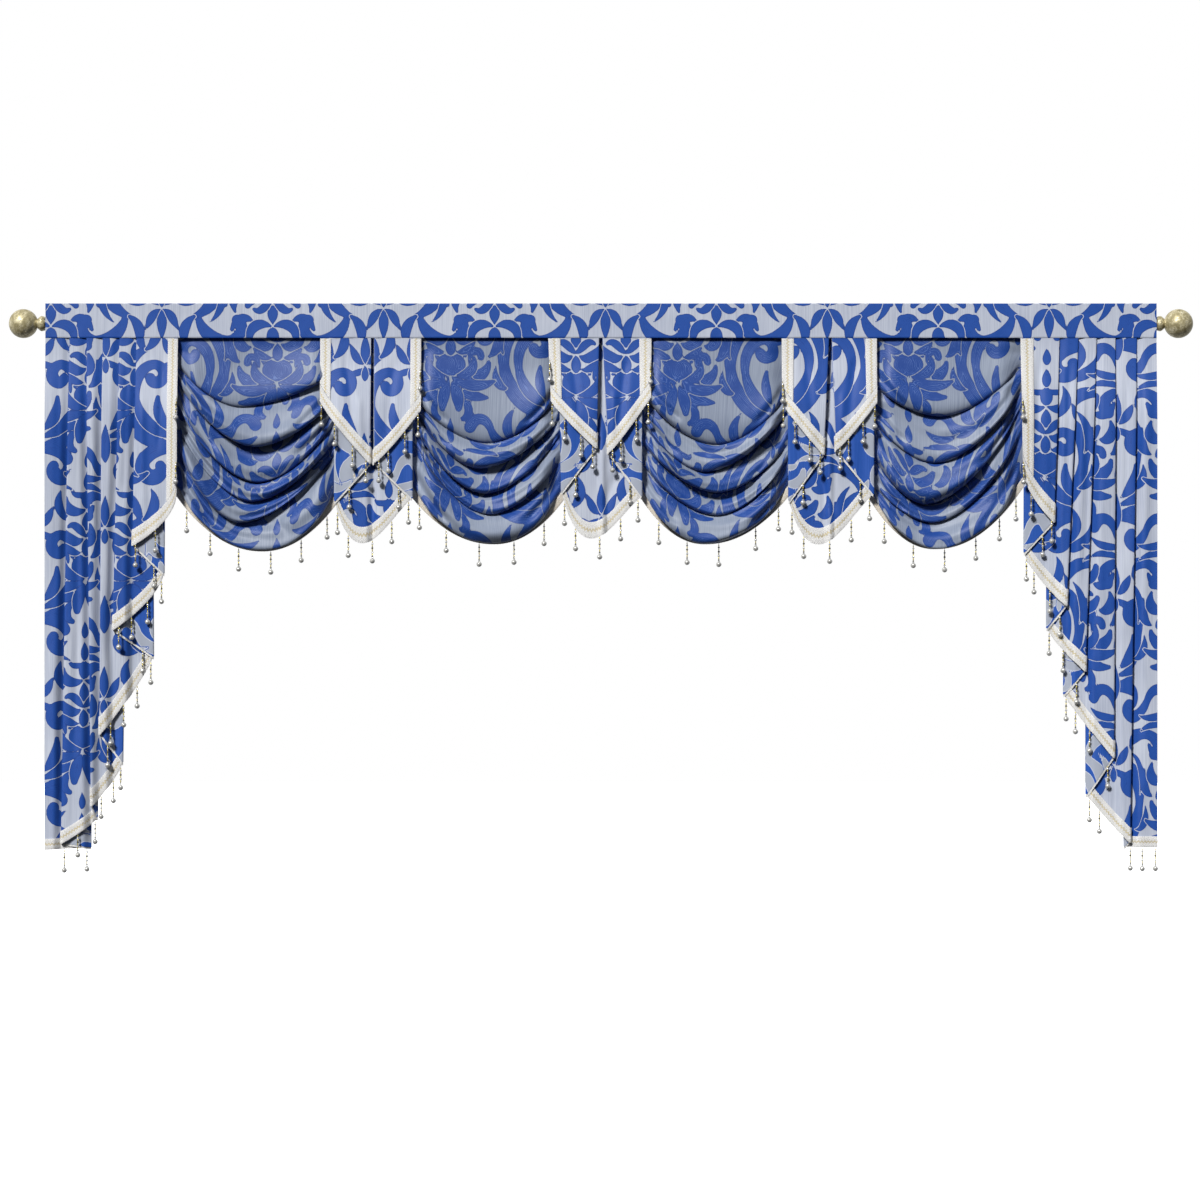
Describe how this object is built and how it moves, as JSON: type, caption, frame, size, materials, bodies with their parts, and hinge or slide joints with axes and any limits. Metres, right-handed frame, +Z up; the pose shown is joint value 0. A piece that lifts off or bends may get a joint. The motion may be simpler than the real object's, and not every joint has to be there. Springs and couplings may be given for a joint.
{
  "type": "swag and tail drape on a curtain rod",
  "caption": "Jacquard valance on a curtain rod: gathered swags, short jabots and long pleated side tails below a flat heading, edged with beaded braid.",
  "frame": {"origin": "on the rod's axis, at the middle of its length", "axes": "+X along the rod to the viewer's right, +Y from the viewer towards the wall, +Z up"},
  "size_m": [2.657, 0.0808, 1.2762],
  "materials": {
    "jacquard": "satin jacquard, blue damask on a silver-grey ground",
    "beaded_braid": "woven cream and gold braid with glossy bead drops",
    "finial_crackle": "mottled champagne crackle",
    "rod_metal": "satin"
  },
  "bodies": {
    "root": {"rod": "rod_metal", "finial_left": "finial_crackle", "finial_right": "finial_crackle", "heading": "jacquard", "swag_1": "jacquard", "swag_2": "jacquard", "swag_3": "jacquard", "swag_4": "jacquard", "jabot_1": "jacquard", "jabot_2": "jacquard", "jabot_3": "jacquard", "tail_left": "jacquard", "tail_right": "jacquard", "trim_swag_1": "beaded_braid", "trim_swag_2": "beaded_braid", "trim_swag_3": "beaded_braid", "trim_swag_4": "beaded_braid", "trim_jabot_1": "beaded_braid", "trim_jabot_2": "beaded_braid", "trim_jabot_3": "beaded_braid", "trim_tail_left": "beaded_braid", "trim_tail_right": "beaded_braid"}
  },
  "joints": []
}
